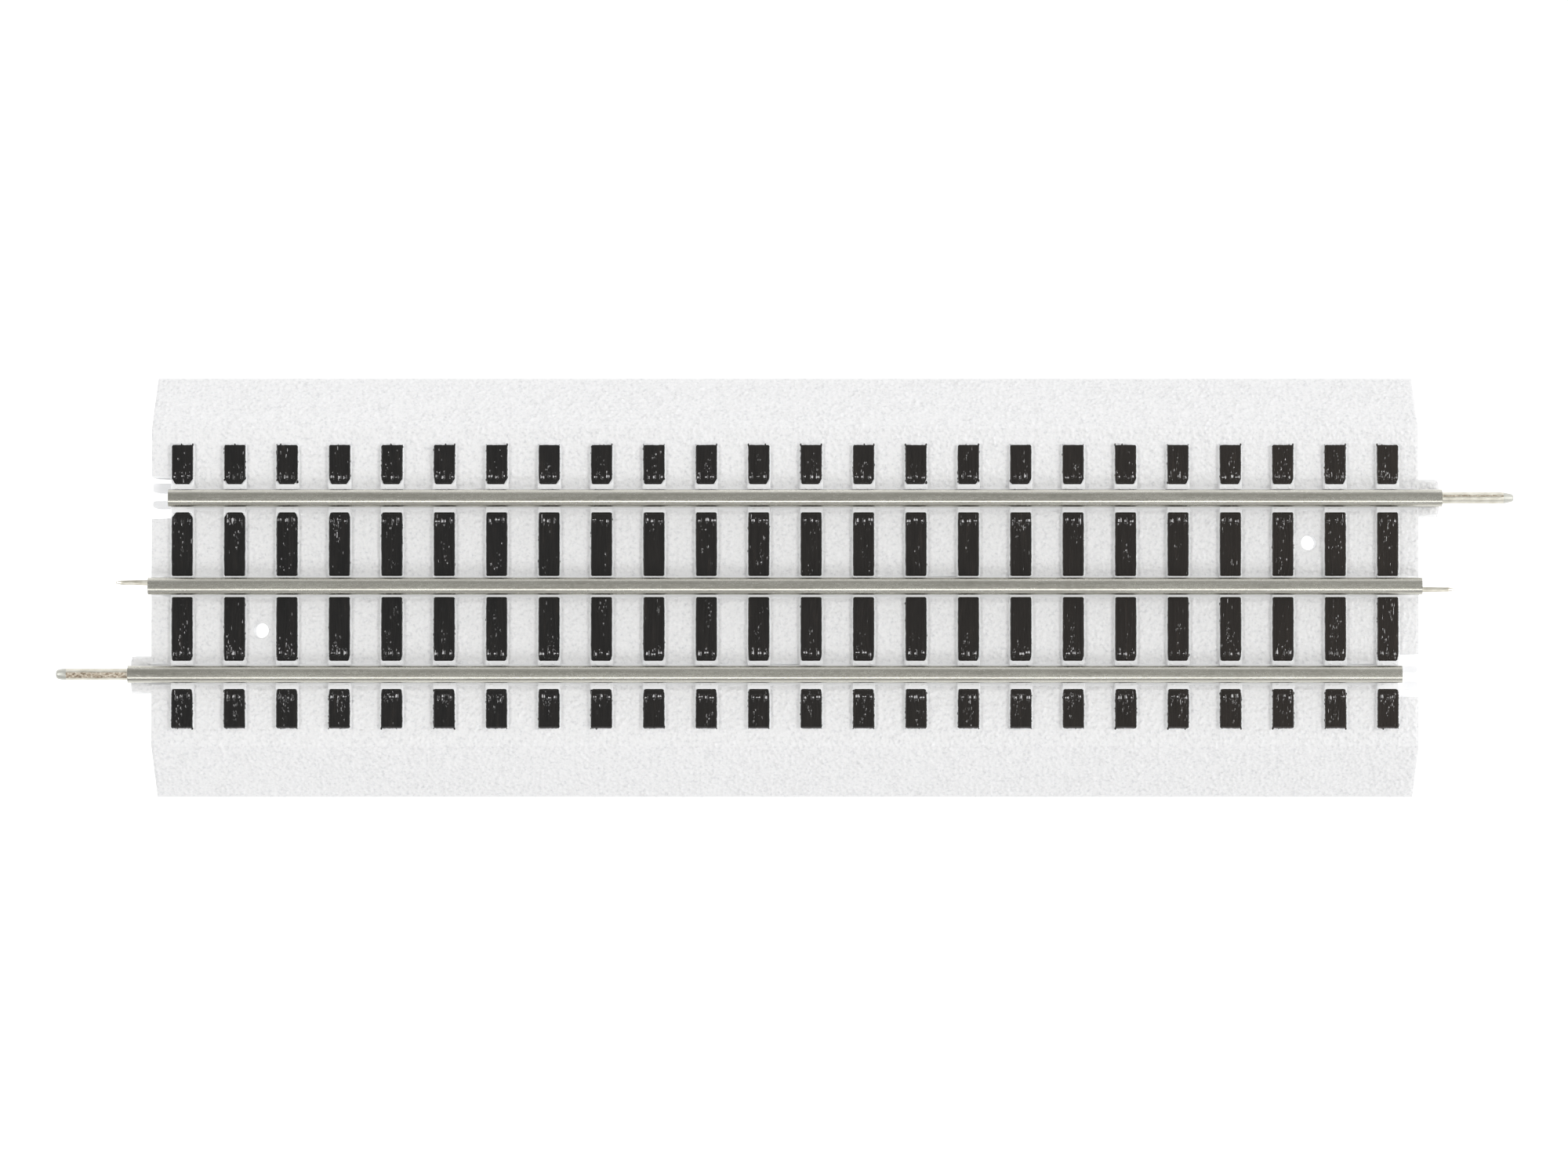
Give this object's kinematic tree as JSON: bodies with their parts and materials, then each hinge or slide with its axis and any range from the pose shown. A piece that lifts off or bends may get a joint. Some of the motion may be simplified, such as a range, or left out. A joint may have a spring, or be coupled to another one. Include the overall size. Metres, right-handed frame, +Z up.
{
  "type": "model track section",
  "caption": "Straight snap-together model railway track section with sloped snow-ballast roadbed, black ties, three formed rails, rail pins and under-deck wiring",
  "frame": {"origin": "on the table under the middle of the section, midway between the end walls and the shoulders", "axes": "+X along the rails, +Y across the track towards the running rail whose pin is at the +X end, +Z up"},
  "size_m": [0.2904, 0.0848, 0.019],
  "materials": {
    "snow_plastic": "fine moulded ballast texture",
    "tie_black": "glossy black over wood grain",
    "rail_nickel": "plated, drawn along the rail",
    "pin_nickel": "plated, with rough sheared edges",
    "strap_steel": "plated strip"
  },
  "bodies": {
    "root": {"roadbed": "snow_plastic", "rail_north": "rail_nickel", "rail_centre": "rail_nickel", "rail_south": "rail_nickel", "pin_east": "pin_nickel", "pin_west": "pin_nickel", "blade_east": "pin_nickel", "blade_west": "pin_nickel", "jumper_east": "strap_steel", "jumper_west": "strap_steel", "terminal_north": "strap_steel", "terminal_centre": "strap_steel", "terminal_south": "strap_steel", "tie_01": "tie_black", "tie_02": "tie_black", "tie_03": "tie_black", "tie_04": "tie_black", "tie_05": "tie_black", "tie_06": "tie_black", "tie_07": "tie_black", "tie_08": "tie_black", "tie_09": "tie_black", "tie_10": "tie_black", "tie_11": "tie_black", "tie_12": "tie_black", "tie_13": "tie_black", "tie_14": "tie_black", "tie_15": "tie_black", "tie_16": "tie_black", "tie_17": "tie_black", "tie_18": "tie_black", "tie_19": "tie_black", "tie_20": "tie_black", "tie_21": "tie_black", "tie_22": "tie_black", "tie_23": "tie_black", "tie_24": "tie_black"}
  },
  "joints": []
}
